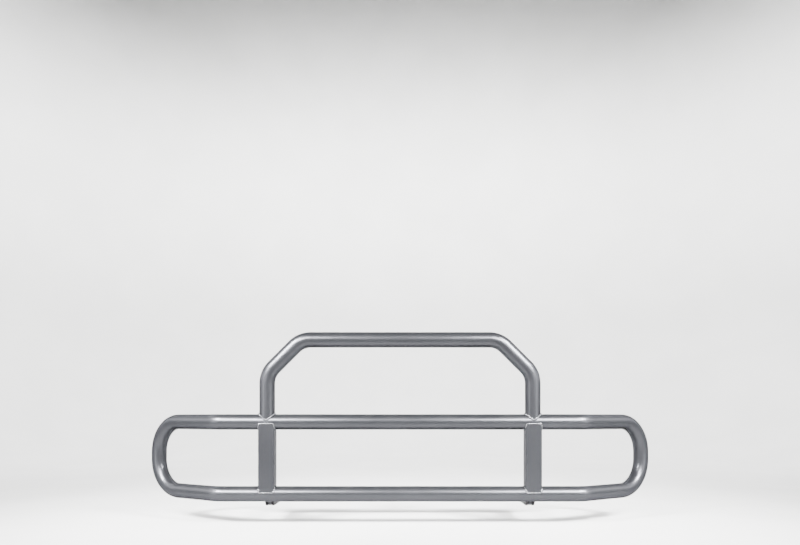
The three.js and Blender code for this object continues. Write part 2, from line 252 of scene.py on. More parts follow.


# %% [markdown]
# ### Satin grey coat of the guard
#
# The pipes are coated in a satin metallic grey. Metallic paint is a clear skin over small flakes,
# so it is part metal, part glossy. Its skin has a faint orange peel a few millimetres across, and
# a thin film of road dust dulls it on top, where it settles. The weld beads carry the same coat,
# glossier, and their grey is painted lighter than the pipes' as a painted highlight, so that they
# show bright. A dark edge tint keeps the pipes' rims from mirroring the whole bright room, as
# flakes that lie flat in real paint do.

# %% Guard coat
METAL_SHARE = 0.85
FLAKE_SIZE, DRIFT_WIDTH = 0.0016, 0.35
GLOSS_PATCH, DUST_PATCH = 0.09, 0.05
PEEL_WIDTH, PEEL_DEPTH = 0.006, 0.0004
FLAKE_COLOUR, DUST_COLOUR = (0.12, 0.123, 0.132), (0.20, 0.195, 0.185)


def guard_coat(name, dark, light, low_gloss, high_gloss):
    coat = Finish(name, light, 0.35, METAL_SHARE)
    drift = coat.band(coat.noise(DRIFT_WIDTH, 4), 0.3, 0.7)
    flakes = coat.band(coat.noise(FLAKE_SIZE, 2), 0.35, 0.65)
    paint = coat.mix(drift, dark, light)
    speckled = coat.mix(coat.combine("MULTIPLY", flakes, 0.06), paint, FLAKE_COLOUR)
    patches = coat.band(coat.noise(DUST_PATCH, 5), 0.42, 0.75)
    dust = coat.combine("MULTIPLY", coat.facing_up(), patches)
    coat.colour(coat.mix(coat.combine("MULTIPLY", dust, 0.07), speckled, DUST_COLOUR))
    gloss = coat.band(coat.noise(GLOSS_PATCH, 5), 0.3, 0.7, low_gloss, high_gloss)
    coat.roughness(coat.combine("ADD", gloss, coat.combine("MULTIPLY", dust, 0.03)))
    coat.emboss(coat.noise(PEEL_WIDTH, 2), PEEL_DEPTH, 0.10)
    coat.shader.inputs["Specular IOR Level"].default_value = 0.6
    coat.shader.inputs["Specular Tint"].default_value = (0.3, 0.3, 0.32, 1)
    return coat.material


GREY = (0.027, 0.0275, 0.0305), (0.0315, 0.0321, 0.0357)
# The weld beads' lighter grey is a painted highlight: the same coat, painted brighter than the
# pipes.
WELD_HIGHLIGHT_GREY = (0.055, 0.056, 0.060), (0.085, 0.087, 0.093)
grey_coat = guard_coat("satin_grey_coat", *GREY, 0.28, 0.31)
weld_coat = guard_coat("coat_over_weld", *WELD_HIGHLIGHT_GREY, 0.17, 0.23)
print("coats:", grey_coat.name, weld_coat.name)


# %% [markdown]
# ### Black coat, zinc, bronze, rubber, plastic and spring steel
#
# The hidden bracket has a black powder coat with a pebbled skin. Its fasteners are zinc plated:
# cool, slightly cloudy metal with fine marks left by the lathe. The bushes and thrust washers are
# bronze. Rubber and moulded plastic are dull and dark, with a fine grain.

# %% Finishes of the bracket and its hardware
def black_powder_coat():
    coat = Finish("black_powder_coat", (0.018, 0.018, 0.019), 0.45, 0.5)
    drift = coat.band(coat.noise(0.08, 4), 0.3, 0.7)
    dust = coat.combine("MULTIPLY", coat.facing_up(), coat.band(coat.noise(0.03, 6), 0.4, 0.7))
    black = coat.mix(drift, (0.008, 0.008, 0.0085), (0.012, 0.012, 0.013))
    coat.colour(coat.mix(coat.combine("MULTIPLY", dust, 0.10), black, (0.08, 0.075, 0.07)))
    coat.shader.inputs["Specular IOR Level"].default_value = 0.3
    coat.shader.inputs["Specular Tint"].default_value = (0.35, 0.35, 0.36, 1)
    coat.roughness(coat.band(coat.noise(0.02, 4), 0.3, 0.7, 0.38, 0.56))
    coat.emboss(coat.noise(0.0022, 2), 0.0005, 0.25)
    return coat.material


def plated_metal(name, dark, light, low_gloss, high_gloss, marks):
    metal = Finish(name, light, 0.3, 1)
    cloud = metal.band(metal.noise(0.012, 4), 0.3, 0.7)
    metal.colour(metal.mix(cloud, dark, light))
    metal.roughness(metal.band(metal.noise(0.004, 5), 0.3, 0.7, low_gloss, high_gloss))
    metal.emboss(metal.noise(0.0006, 2, stretch=marks), 0.0002, 0.3)
    return metal.material


def dull_black(name, grain, low_gloss, high_gloss):
    skin = Finish(name, (0.012, 0.012, 0.013), 0.6, 0)
    bloom = skin.band(skin.noise(0.015, 5), 0.4, 0.75)
    skin.colour(skin.mix(bloom, (0.006, 0.006, 0.0065), (0.016, 0.016, 0.0165)))
    skin.roughness(skin.band(skin.noise(0.008, 4), 0.3, 0.7, low_gloss, high_gloss))
    skin.emboss(skin.noise(grain, 3), 0.0003, 0.35)
    skin.shader.inputs["Specular IOR Level"].default_value = 0.3
    return skin.material


black_coat = black_powder_coat()
zinc = plated_metal("zinc_plate", (0.42, 0.43, 0.45), (0.62, 0.63, 0.64), 0.24, 0.42, (3, 1, 1))
bronze = plated_metal("bronze", (0.32, 0.20, 0.08), (0.48, 0.33, 0.15), 0.25, 0.4, (3, 1, 1))
SPRING_GREYS = (0.22, 0.22, 0.23), (0.36, 0.36, 0.37)
spring_steel = plated_metal("spring_steel", *SPRING_GREYS, 0.3, 0.45, (1, 1, 1))
rubber = dull_black("pad_rubber", 0.0018, 0.72, 0.88)
plastic = dull_black("black_plastic", 0.0009, 0.46, 0.6)
print("hardware finishes ready")


# %% [markdown]
# ## The lower loop
#
# On the real guard the loop is bent pipe, butt welded and ground flush, so it looks like one
# closed ring. A bending card lists straights and bends, and so does this class: it walks along
# the centreline and notes a station wherever the pipe's ring of points is to be placed. A bend
# takes a station every three degrees, so its outline is smooth from close by.

# %% The bending card
class PipeRun:
    def __init__(self, start, heading):
        self.points = [Vector(start)]
        self.headings = [Vector(heading).normalized()]

    def straight(self, length, steps=1):
        start, heading = self.points[-1].copy(), self.headings[-1].copy()
        for i in range(1, steps + 1):
            self.points.append(start + heading * length * i / steps)
            self.headings.append(heading.copy())
        return self

    def bend(self, radius, angle, axis, step=radians(3)):
        start, heading = self.points[-1].copy(), self.headings[-1].copy()
        inward = Vector(axis).cross(heading) * (1 if angle > 0 else -1)
        centre = start + inward * radius
        steps = ceil(abs(angle) / step)
        for i in range(1, steps + 1):
            turn = Matrix.Rotation(angle * i / steps, 3, Vector(axis))
            self.points.append(centre + turn @ (start - centre))
            self.headings.append(turn @ heading)
        return self


def pipe_rings(run, first_side, radius, sides=48):
    rings = []
    side = Vector(first_side)
    for point, heading in zip(run.points, run.headings):
        side = (side - heading * side.dot(heading)).normalized()
        up = heading.cross(side)
        angles = [2 * pi * k / sides for k in range(sides)]
        rings.append([point + (side * cos(a) + up * sin(a)) * radius for a in angles])
    return rings


X, Y, Z = Vector((1, 0, 0)), Vector((0, 1, 0)), Vector((0, 0, 1))
print("bending card ready")

# %% Bend the loop
PIPE_BEND = 3 * PIPE_R
WRAP_ANGLE = radians(34)
WRAP_STRAIGHT = 0.24
END_BEND = 0.1524
RAIL_SPACING = UPPER_Z - LOWER_Z


def wrapped_end(run):
    """Continues a run along a rail, round one end and back along the other rail."""
    rail_heading = run.headings[-1].copy()
    turn = WRAP_ANGLE if rail_heading.x > 0 else -WRAP_ANGLE
    down = 1 if run.points[-1].z > (UPPER_Z + LOWER_Z) / 2 else -1
    run.bend(PIPE_BEND, turn, Z).straight(WRAP_STRAIGHT, 4)
    axis = Z.cross(run.headings[-1]) * down
    run.bend(END_BEND, pi / 2, axis).straight(RAIL_SPACING - 2 * END_BEND)
    run.bend(END_BEND, pi / 2, axis).straight(WRAP_STRAIGHT, 4)
    return run.bend(PIPE_BEND, -turn, Z)


loop_run = PipeRun((0, RAIL_Y, UPPER_Z), X).straight(RAIL_HALF, 12)
wrapped_end(loop_run).straight(2 * RAIL_HALF, 24)
wrapped_end(loop_run).straight(RAIL_HALF, 12)
closing_gap = (loop_run.points.pop() - loop_run.points[0]).length
loop_run.headings.pop()
loop_nodes = ("upper_rail", "lower_rail", "left_end_loop", "right_end_loop")
loop_shape = loft(pipe_rings(loop_run, -Y, PIPE_R), closed=True)
piece("loop_pipe", loop_shape, "guard", grey_coat, loop_nodes)
print(f"loop closes within {closing_gap * 1000:.4f} mm, {len(loop_shape[0])} points")

# %% [markdown]
# ## The hoop
#
# The hoop is one pipe with four bends of 45 degrees. Its legs are cut to a saddle, the fish
# mouth, so that they sit on the rail. The last ring of each leg takes its height from the rail's
# round top. The sharp tips of a fish mouth burn away in welding, so its lowest points are eased.

# %% Bend the hoop and cut its fish mouths
HOOP_CHAMFER = 0.16
MOUTH_EASE = 0.012
SADDLE_CLEAR = 0.012
HOOP_AXIS_TOP = HOOP_TOP - PIPE_R
bend_take = PIPE_BEND * tan(radians(22.5))
leg_start = UPPER_Z + PIPE_R + SADDLE_CLEAR
leg_length = HOOP_AXIS_TOP - HOOP_CHAMFER - bend_take - leg_start
slope_length = HOOP_CHAMFER * sqrt(2) - 2 * bend_take
hoop_run = PipeRun((-POST_X, RAIL_Y, leg_start), Z).straight(leg_length, 3)
hoop_run.bend(PIPE_BEND, pi / 4, Y).straight(slope_length, 2).bend(PIPE_BEND, pi / 4, Y)
hoop_run.straight(2 * (POST_X - HOOP_CHAMFER - bend_take), 10)
hoop_run.bend(PIPE_BEND, pi / 4, Y).straight(slope_length, 2).bend(PIPE_BEND, pi / 4, Y)
hoop_run.straight(leg_length, 3)


def rail_rise(across):
    """Height of a rail's surface above its axis, at a distance across the rail."""
    return sqrt(max(PIPE_R**2 - across**2, 0))


def leg_foot(across):
    """Height of a leg's foot above the rail's axis: the rail's round top, eased at the front."""
    return hypot(rail_rise(across), MOUTH_EASE)


def fish_mouth(ring):
    return [Vector((p.x, p.y, UPPER_Z + leg_foot(p.y - RAIL_Y))) for p in ring]


hoop_rings = pipe_rings(hoop_run, X, PIPE_R)
hoop_rings = [fish_mouth(hoop_rings[0]), *hoop_rings, fish_mouth(hoop_rings[-1])]
piece("hoop_pipe", loft(hoop_rings), "guard", grey_coat, ("hoop",))
print(f"hoop: legs {leg_length:.3f} m, slopes {slope_length:.3f} m between bends")


# %% [markdown]
# ## The uprights
#
# The uprights are square tube with rounded corners, coped at both ends onto the rails. The
# outline has extra points just beside each corner, so that smooth shading stays inside the
# rounded part and the faces look truly flat.

# %% Square uprights
def rounded_square(width, depth, corner, corner_steps=8, side_steps=10):
    """Points round a rectangle with rounded corners, as (x, y, outward x, outward y)."""
    outline, beside_corner = [], 0.0006
    for quarter in range(4):
        start = quarter * pi / 2
        sx, sy = ((1, 1), (-1, 1), (-1, -1), (1, -1))[quarter]
        cx, cy = sx * (width / 2 - corner), sy * (depth / 2 - corner)
        for i in range(corner_steps + 1):
            a = start + i * pi / 2 / corner_steps
            outline.append((cx + corner * cos(a), cy + corner * sin(a), cos(a), sin(a)))
        normal = (cos(start + pi / 2), sin(start + pi / 2))
        along = (cos(start + pi), sin(start + pi))
        side = (width if normal[0] == 0 or abs(normal[1]) > 0.5 else depth) - 2 * corner
        px, py = outline[-1][:2]
        margin = min(beside_corner, side / 4)
        for i in range(side_steps + 1):
            step = margin + (side - 2 * margin) * i / side_steps
            outline.append((px + along[0] * step, py + along[1] * step, *normal))
    return outline


UPRIGHT_CORNER = 0.008
EDGE_BAND = 0.004
upright_y = middle("right_upright").y
upright_outline = rounded_square(size("right_upright").x, size("right_upright").y, UPRIGHT_CORNER)


def upright_shape(x):
    def level(top, lift=0.0):
        ring = []
        for px, py, _, _ in upright_outline:
            y = upright_y + py
            rise = rail_rise(y - RAIL_Y)
            z = UPPER_Z - rise - lift if top else LOWER_Z + rise + lift
            ring.append(Vector((x + px, y, z)))
        return ring

    rings = [level(False), level(False, EDGE_BAND)]
    low, high = LOWER_Z + PIPE_R + SADDLE_CLEAR, UPPER_Z - PIPE_R - SADDLE_CLEAR
    for i in range(9):
        z = low + (high - low) * i / 8
        rings.append([Vector((x + px, upright_y + py, z)) for px, py, _, _ in upright_outline])
    return loft([*rings, level(True, EDGE_BAND), level(True)])


for hand, side in (("left", -1), ("right", 1)):
    shape = upright_shape(side * POST_X)
    piece(f"{hand}_upright_tube", shape, "guard", grey_coat, (f"{hand}_upright",), 50)
print("uprights stand", len(upright_outline), "points round")

# %% [markdown]
# ## Weld beads
#
# The pipes, the uprights and the bracket are held together by weld, and the beads are the
# brightest small detail on the guard. A welder lays drop over drop, which leaves ripples like a
# stack of coins tipped over. The bead is swept along the seam as a ring of points whose radius
# rises and falls once per drop. The middle of each drop runs a little ahead of its edges, which
# bends the ripples into crescents, and two slow waves keep the bead from looking machine made.

# %% Weld bead along a seam
DROP_PITCH = 0.0032
BEAD_STEP = 0.0007
SLOW_WAVE, QUICK_WAVE = 41 * pi / 3, 97 * pi / 3


def even_steps(points, lifts, closed, step=BEAD_STEP):
    """Resamples a seam, and the directions in which its bead bulges, at even steps."""
    if closed:
        points, lifts = [*points, points[0]], [*lifts, lifts[0]]
    marks = [0.0]
    for a, b in zip(points, points[1:]):
        marks.append(marks[-1] + (b - a).length)
    count = max(4, round(marks[-1] / step))
    even, at = [], 0
    for i in range(count if closed else count + 1):
        s = marks[-1] * i / count
        while at < len(marks) - 2 and marks[at + 1] < s:
            at += 1
        share = (s - marks[at]) / max(marks[at + 1] - marks[at], 1e-9)
        lift = lifts[at].lerp(lifts[at + 1], share)
        even.append((points[at].lerp(points[at + 1], share), lift, s))
    return even


def bead_shape(points, lifts, radius, closed=False, flat=1.0, sides=14):
    even = even_steps(points, lifts, closed)
    last = len(even) - 1
    drops = max(1, round(even[-1][2] / DROP_PITCH))
    pitch = (even[-1][2] + (BEAD_STEP if closed else 0)) / drops
    rings = []
    for i, (point, lift, s) in enumerate(even):
        before = even[i - 1][0] if i or closed else point
        after = even[(i + 1) % len(even)][0] if i < last or closed else point
        along = (after - before).normalized()
        out = (lift - along * lift.dot(along)).normalized()
        across = along.cross(out)
        wave = 1 + 0.05 * sin(SLOW_WAVE * s + 1.3) + 0.04 * sin(QUICK_WAVE * s)
        wave = 1 if closed and min(i, last - i) < 3 else wave
        taper = 1 if closed else min(1, 0.35 + min(s, even[-1][2] - s) / 0.003)
        ring = []
        for k in range(sides):
            a = 2 * pi * k / sides
            ridge = abs(sin(pi * (s / pitch + 0.4 * cos(a))))
            r = radius * wave * taper * (0.84 + 0.2 * ridge)
            ring.append(point + out * (r * cos(a) * flat) + across * (r * sin(a)))
        rings.append(ring)
    return loft(rings, closed=closed)


def join(*shapes):
    points, faces = [], []
    for shape_points, shape_faces in shapes:
        faces += [tuple(i + len(points) for i in face) for face in shape_faces]
        points += shape_points
    return points, faces


print("one drop every", DROP_PITCH * 1000, "mm")

# %% Beads round the hoop legs and the uprights
LEG_BEAD, POST_BEAD = 0.0048, 0.0046
LEG_SUNK, POST_SUNK = 0.0005, 0.0012


def leg_seam(x):
    points, lifts = [], []
    for i in range(120):
        a = 2 * pi * i / 120
        around = Vector((cos(a), sin(a), 0))
        foot = leg_foot(PIPE_R * sin(a))
        low = Vector((x, RAIL_Y, UPPER_Z + foot - 2 * LEG_SUNK))
        points.append(low + around * (PIPE_R - LEG_SUNK))
        lifts.append((around + Z * 0.9 * abs(cos(a))).normalized())
    return points, lifts


def post_seam(x, top):
    points, lifts = [], []
    for px, py, nx, ny in upright_outline:
        y = upright_y + py
        rise = rail_rise(y - RAIL_Y)
        z = UPPER_Z - rise if top else LOWER_Z + rise
        out = Vector((nx, ny, 0))
        points.append(Vector((x + px, y, z)) - out * POST_SUNK)
        lifts.append((out - Z * (0.35 if top else -0.35)).normalized())
    return points, lifts


for hand, side in (("left", -1), ("right", 1)):
    x = side * POST_X
    leg = bead_shape(*leg_seam(x), LEG_BEAD, closed=True)
    piece(f"{hand}_leg_weld", leg, "guard", weld_coat, crease=60)
    ends = [bead_shape(*post_seam(x, top), POST_BEAD, closed=True) for top in (True, False)]
    piece(f"{hand}_upright_welds", join(*ends), "guard", weld_coat, crease=60)
    print(hand, "beads", len(leg[0]) + sum(len(end[0]) for end in ends), "points")


# %% [markdown]
# ## Plates
#
# The swing plates, cheeks, floor plates and flanges are flame cut from plate and lightly ground
# along their edges. Blender's 2D curve does this in one go: it fills an outline, leaves the
# holes open, gives the plate its thickness and rounds its edge. The result is turned into a mesh
# and stood in its plane.

# %% Cutting a plate from an outline
def arc(cx, cy, radius, start, end, steps=24):
    turns = [start + (end - start) * i / steps for i in range(steps + 1)]
    return [(cx + radius * cos(a), cy + radius * sin(a)) for a in turns]


def round_hole(cx, cy, radius, steps=48):
    return arc(cx, cy, radius, 0, 2 * pi, steps)[:-1]


def cut_plate(outline, holes, thickness, edge, stand):
    """A plate in the plane that stand gives: it maps (along, up, through) to a place."""
    curve = bpy.data.curves.new("plate", "CURVE")
    curve.dimensions, curve.fill_mode = "2D", "BOTH"
    curve.extrude, curve.bevel_depth = thickness / 2 - edge, edge
    curve.bevel_resolution, curve.offset = 2, -edge
    for loop in (outline, *holes):
        spline = curve.splines.new("POLY")
        spline.points.add(len(loop) - 1)
        for point, (u, v) in zip(spline.points, loop):
            point.co = (u, v, 0, 1)
        spline.use_cyclic_u = True
    pattern = bpy.data.objects.new("plate", curve)
    mesh = bpy.data.meshes.new_from_object(pattern)
    points = [stand(*vertex.co) for vertex in mesh.vertices]
    faces = [tuple(face.vertices) for face in mesh.polygons]
    bpy.data.objects.remove(pattern)
    bpy.data.curves.remove(curve)
    bpy.data.meshes.remove(mesh)
    return points, faces


def side_stand(node):
    """Stands a plate in the plane of the truck's side, at a node's middle and about the pivot."""
    x = middle(node).x
    return lambda u, v, w: (x + w, PIVOT.y + u, PIVOT.z + v)


print("pivot axis at", [round(v, 4) for v in PIVOT])

# %% Swing plates and cheeks
PLATE_EDGE = 0.0009
HUB_R = 0.028
HEEL_R = 0.022
LOCK_BEHIND = LATCH.y - PIVOT.y
BUSH_R, BOLT_R, PIN_R = 0.015, 0.010, 0.0095
SWING_T = size("right_swing_plate").x
CHEEK_T = size("right_inner_cheek").x
upright_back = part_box("right_upright")[1].y + GAP - PIVOT.y
rail_back, rail_up = RAIL_Y - PIVOT.y, LOWER_Z - PIVOT.z
swing_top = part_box("right_swing_plate")[1].z - PIVOT.z
cheek_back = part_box("right_inner_cheek")[1].y - PIVOT.y
cheek_low = -PIVOT.z
cheek_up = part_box("crossbar")[1].z - PIVOT.z

swing_outline = [
    (upright_back, swing_top - 0.006),
    (upright_back, rail_up),
    *arc(rail_back, rail_up, PIPE_R + GAP, 0, -pi / 3),
    *arc(0, 0, HUB_R, -0.6 * pi, asin(-HEEL_R / HUB_R)),
    *arc(LOCK_BEHIND, 0, HEEL_R, -pi / 2, pi / 2),
    (-0.004, 0.052),
    (-0.026, swing_top - 0.004),
    (-0.028, swing_top - 0.001),
    (-0.031, swing_top),
    (upright_back + 0.006, swing_top),
]
lock_hole = round_hole(LOCK_BEHIND, 0, PIN_R + GAP)
swing_holes = [round_hole(0, 0, BUSH_R + GAP), lock_hole]
cheek_outline = [
    *arc(0, 0, -cheek_low, 0.48 * pi, 1.5 * pi, 40),
    (cheek_back, cheek_low),
    (cheek_back, cheek_up),
]
cheek_holes = [round_hole(0, 0, BOLT_R + GAP), lock_hole]
for hand in ("left", "right"):
    node = f"{hand}_swing_plate"
    shape = cut_plate(swing_outline, swing_holes, SWING_T, PLATE_EDGE, side_stand(node))
    piece(f"{hand}_swing_arm", shape, "guard", grey_coat, (node,), 30)
    for where in ("inner", "outer"):
        node = f"{hand}_{where}_cheek"
        shape = cut_plate(cheek_outline, cheek_holes, CHEEK_T, PLATE_EDGE, side_stand(node))
        piece(f"{node}_plate", shape, "bracket", black_coat, (node,), 30)
print(f"swing arms {SWING_T * 1000:.1f} mm thick, cheeks {CHEEK_T * 1000:.1f} mm")

# %% Floor plates and mounting flanges
FLANGE_HOLE_X = 0.07
FLANGE_HOLE_R = 0.011
FLANGE_CORNER = 0.006


def box_outline(node, first, second, centre):
    """The four corners of a node's box in a plane, about a centre."""
    low, high = (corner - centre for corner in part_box(node))
    return [(low[first], low[second]), (high[first], low[second]),
            (high[first], high[second]), (low[first], high[second])]


def rounded_outline(width, height, corner, steps=8):
    x, y = width / 2 - corner, height / 2 - corner
    quarters = ((x, y, 0), (-x, y, 0.5), (-x, -y, 1), (x, -y, 1.5))
    return [p for cx, cy, q in quarters for p in arc(cx, cy, corner, q * pi, (q + 0.5) * pi, steps)]


for hand in ("left", "right"):
    node = f"{hand}_floor_plate"
    centre = middle(node)
    shape = cut_plate(box_outline(node, 0, 1, centre), [], size(node).z, PLATE_EDGE,
                      lambda u, v, w: tuple(centre + Vector((u, v, w))))
    piece(f"{hand}_floor", shape, "bracket", black_coat, (node,), 30)
    node = f"{hand}_mount_flange"
    centre = middle(node)
    holes = [round_hole(s * FLANGE_HOLE_X, 0, FLANGE_HOLE_R) for s in (-1, 1)]
    outline = rounded_outline(size(node).x, size(node).z, FLANGE_CORNER)
    shape = cut_plate(outline, holes, size(node).y, PLATE_EDGE,
                      lambda u, v, w: tuple(centre + Vector((u, w, v))))
    piece(f"{hand}_flange", shape, "bracket", black_coat, (node,), 30)
    print(node, [round(v, 3) for v in size(node)])

# %% [markdown]
# ## Cross member, horn stubs and end caps
#
# The cross member is square tube and each horn stub is a short length of wider tube. Both show
# their open ends in the making, so they are lofted as real tubes, outside and inside. Moulded
# plugs close the cross member. A plug has a soft edge and a shallow dish in its face, because
# thick plastic would sink there anyway.

# %% Square tubes and plugs
TUBE_WALL = 0.0048
STUB_WALL = 0.006
TUBE_CORNER = 0.006


def box_ring(outline, inset, place):
    """A ring of a rounded outline, drawn in by inset along its normals and put in place."""
    return [Vector(place(u - nu * inset, v - nv * inset)) for u, v, nu, nv in outline]


def shrunk_ring(outline, inset, place):
    """A ring of the same outline scaled towards its middle, for insets deeper than its corners."""
    reach = max(u for u, *_ in outline)
    share = 1 - inset / reach
    return [Vector(place(u * share, v * share)) for u, v, _, _ in outline]


def tube_shape(outline, wall, place, start, end):
    """A tube along an axis, where place maps (across, up, along) into the frame."""
    filed = 0.0006
    stations = ((wall, start), (filed, start), (0, start + filed), (0, end - filed),
                (filed, end), (wall, end))
    return loft([box_ring(outline, inset, lambda u, v: place(u, v, w)) for inset, w in stations],
                closed=True)


centre = middle("crossbar")
bar_outline = rounded_square(size("crossbar").y, size("crossbar").z, TUBE_CORNER)
bar_end = size("crossbar").x / 2
shape = tube_shape(bar_outline, TUBE_WALL, lambda u, v, w: (w, centre.y + u, centre.z + v),
                   -bar_end, bar_end)
piece("cross_member", shape, "bracket", black_coat, ("crossbar",), 50)
PLUG_STEPS = ((0, 0.0003), (0.0032, 0.0), (0.0043, 0.0004), (0.0048, 0.0011), (0.005, 0.0022),
              (0.005, 0.0052), (0.0046, 0.0062), (0.0042, 0.0066), (0.0042, 0.018))
for hand, side in (("left", -1), ("right", 1)):
    node = f"{hand}_crossbar_cap"
    inner = middle(node).x - side * size(node).x / 2
    rings = [shrunk_ring(bar_outline, inset,
                         lambda u, v: (inner + side * w, centre.y + u, centre.z + v))
             for w, inset in PLUG_STEPS]
    piece(f"{hand}_end_plug", loft(rings), "bracket", plastic, (node,), 60)
    node = f"{hand}_horn_stub"
    stub, low, high = middle(node), *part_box(node)
    stub_outline = rounded_square(size(node).x, size(node).z, TUBE_CORNER)
    shape = tube_shape(stub_outline, STUB_WALL, lambda u, v, w: (stub.x + u, w, stub.z + v),
                       low.y, high.y)
    piece(f"{hand}_stub", shape, "bracket", black_coat, (node,), 50)
print("cross member", round(2 * bar_end, 3), "m long")

# %% [markdown]
# ## Turned and hexagonal parts
#
# Bushes, washers, pins and the latch housings come from a lathe. Their profile is spun about the
# pivot's or the latch's axis, after its corners have been eased, since even a sharp turned edge
# is broken with a file. The hexagon of a bolt head is a ring whose radius follows the flats, cut
# back by a cone at its top, which leaves the curved chamfer that every real bolt head has.

# %% Lathe
def eased(profile, amount=0.0005):
    """Replaces each corner of a closed profile by a small three-point round."""
    soft = []
    for i, here in enumerate(profile):
        if here[1] == 0:
            soft.append(here)
            continue
        for neighbour in (profile[i - 1], profile[(i + 1) % len(profile)]):
            reach = hypot(neighbour[0] - here[0], neighbour[1] - here[1])
            share = min(amount / reach, 0.4) if reach else 0
            soft.append((here[0] + (neighbour[0] - here[0]) * share,
                         here[1] + (neighbour[1] - here[1]) * share))
        before, after = soft[-2:]
        soft.insert(-1, ((before[0] + after[0] + 2 * here[0]) / 4,
                         (before[1] + after[1] + 2 * here[1]) / 4))
    return soft


def ring_about(origin, toward, along, radius_at, sides):
    """A ring about an axis along X; toward is -1 or 1, and the radius may follow the angle."""
    turns = [2 * pi * k / sides for k in range(sides)]
    return [Vector((origin.x + toward * along, origin.y + radius_at(a) * cos(a),
                    origin.z + radius_at(a) * sin(a))) for a in turns]


def turned(profile, origin, toward, sides=64, scallop=lambda along, a: 1):
    """Spins a profile of (along, radius) about an axis along X."""
    return loft([ring_about(origin, toward, along, lambda a: radius * scallop(along, a), sides)
                 for along, radius in profile], closed=True)


def washer(node, bore, body, finish):
    half, outer = size(node).x / 2, size(node).z / 2
    profile = eased([(-half, bore), (-half, outer), (half, outer), (half, bore)], 0.0004)
    piece(f"{node}_ring", turned(profile, middle(node), 1), body, finish, (node,))


for hand in ("left", "right"):
    washer(f"{hand}_pivot_bush", BOLT_R + GAP, "guard", bronze)
    for where in ("inner", "outer"):
        washer(f"{hand}_thrust_washer_{where}", BOLT_R + GAP, "bracket", bronze)
        washer(f"{hand}_pivot_washer_{where}", BOLT_R + GAP, "bracket", zinc)
print("bushes and washers turned")

# %% Pivot bolts and nuts
HEX_FLATS = 0.030
HEAD_HEIGHT = 0.0125
NUT_HEIGHT = 0.016
THREAD_PITCH = 0.0025
THREAD_LENGTH = 0.030
THREAD_DEPTH = 0.0013
TIP_LENGTH, TIP_DEPTH = 0.0015, 0.0016
CHAMFER_DEPTH = 0.0022
NUT_FLARE, FLARE_DEPTH = 0.0018, 0.0016
HEX_SIDES = 72


def hex_radius(a, cone):
    """Distance to the hexagon's flat at an angle, cut back to the chamfer's cone."""
    to_flat = (a + pi / 6) % (pi / 3) - pi / 6
    return min(HEX_FLATS / 2 / cos(to_flat), cone)


def hex_rings(origin, toward, start, end, chamfer_start, chamfer_end):
    """Rings of a hexagonal prism, each end chamfered by a cone that starts inside the flats."""
    rings, steps = [], 8
    inner, outer = HEX_FLATS / 2 - 0.0004, HEX_FLATS / sqrt(3)
    shares = [i / steps for i in range(steps + 1)]
    cones = [(CHAMFER_DEPTH * share, inner + (outer - inner) * share) for share in shares]
    stations = [(start + d, cone) for d, cone in cones] if chamfer_start else [(start, outer)]
    stations += [(end - d, cone) for d, cone in reversed(cones)] if chamfer_end else [(end, outer)]
    for along, cone in stations:
        rings.append(ring_about(origin, toward, along, lambda a: hex_radius(a, cone), HEX_SIDES))
    return rings


def thread_rings(origin, toward, start, end):
    rings = []
    steps = round((end - start) / 0.0003)
    for i in range(steps + 1):
        along = start + (end - start) * i / steps
        tip = min(1, (end - along) / TIP_LENGTH)

        def radius(a):
            turn = (along / THREAD_PITCH - a / (2 * pi)) % 1
            return BOLT_R - THREAD_DEPTH * abs(2 * turn - 1) * tip - TIP_DEPTH * (1 - tip)

        rings.append(ring_about(origin, toward, along, radius, HEX_SIDES))
    return rings


for hand, side in (("left", -1), ("right", 1)):
    node = f"{hand}_pivot_bolt"
    low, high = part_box(node)
    head_end = high.x if side > 0 else low.x
    origin = Vector((head_end, PIVOT.y, PIVOT.z))
    shank_end, tip = size(node).x - THREAD_LENGTH, size(node).x
    rings = hex_rings(origin, -side, 0, HEAD_HEIGHT, True, False)
    rings += [ring_about(origin, -side, d, lambda a: BOLT_R, HEX_SIDES)
              for d in (HEAD_HEIGHT, shank_end)]
    rings += thread_rings(origin, -side, shank_end, tip)
    piece(f"{hand}_bolt", loft(rings), "bracket", zinc, (node,), 30)
    node = f"{hand}_pivot_nut"
    origin = middle(node)
    half = NUT_HEIGHT / 2
    rings = hex_rings(origin, 1, -half, half, True, True)
    bores = ((half, NUT_FLARE), (half - FLARE_DEPTH, 0), (FLARE_DEPTH - half, 0),
             (-half, NUT_FLARE))
    for along, flare in bores:
        rings.append(ring_about(origin, 1, along, lambda a: BOLT_R + GAP + flare, HEX_SIDES))
    piece(f"{hand}_nut", loft(rings, closed=True), "bracket", zinc, (node,), 30)
    print(hand, "bolt", round(tip * 1000, 1), "mm long")

# %% [markdown]
# ## Latches
#
# Each latch is a spring plunger. A pin slides in a housing that is welded to the inner cheek, a
# spring pushes it through the cheek into the swing arm, and a black knob draws it back. The knob
# is moulded with eight shallow scallops, so that a gloved hand can grip it.

# %% Spring plungers
HOUSING_R, HOUSING_BORE, HOUSING_LENGTH = 0.019, 0.0132, 0.062
CAP_LENGTH, LATCH_TRAVEL, LATCH_TIP = 0.008, 0.034, 0.008
ROD_R = 0.006
COLLAR_AT, COLLAR_T = LATCH_TRAVEL + 0.0005, 0.004
KNOB_AT, KNOB_LENGTH, KNOB_R = HOUSING_LENGTH + CAP_LENGTH + LATCH_TRAVEL + 0.001, 0.030, 0.019
SCALLOPS, SCALLOP_DEPTH = 8, 0.055
COILS, COIL_R, WIRE_R = 6, 0.010, 0.0011

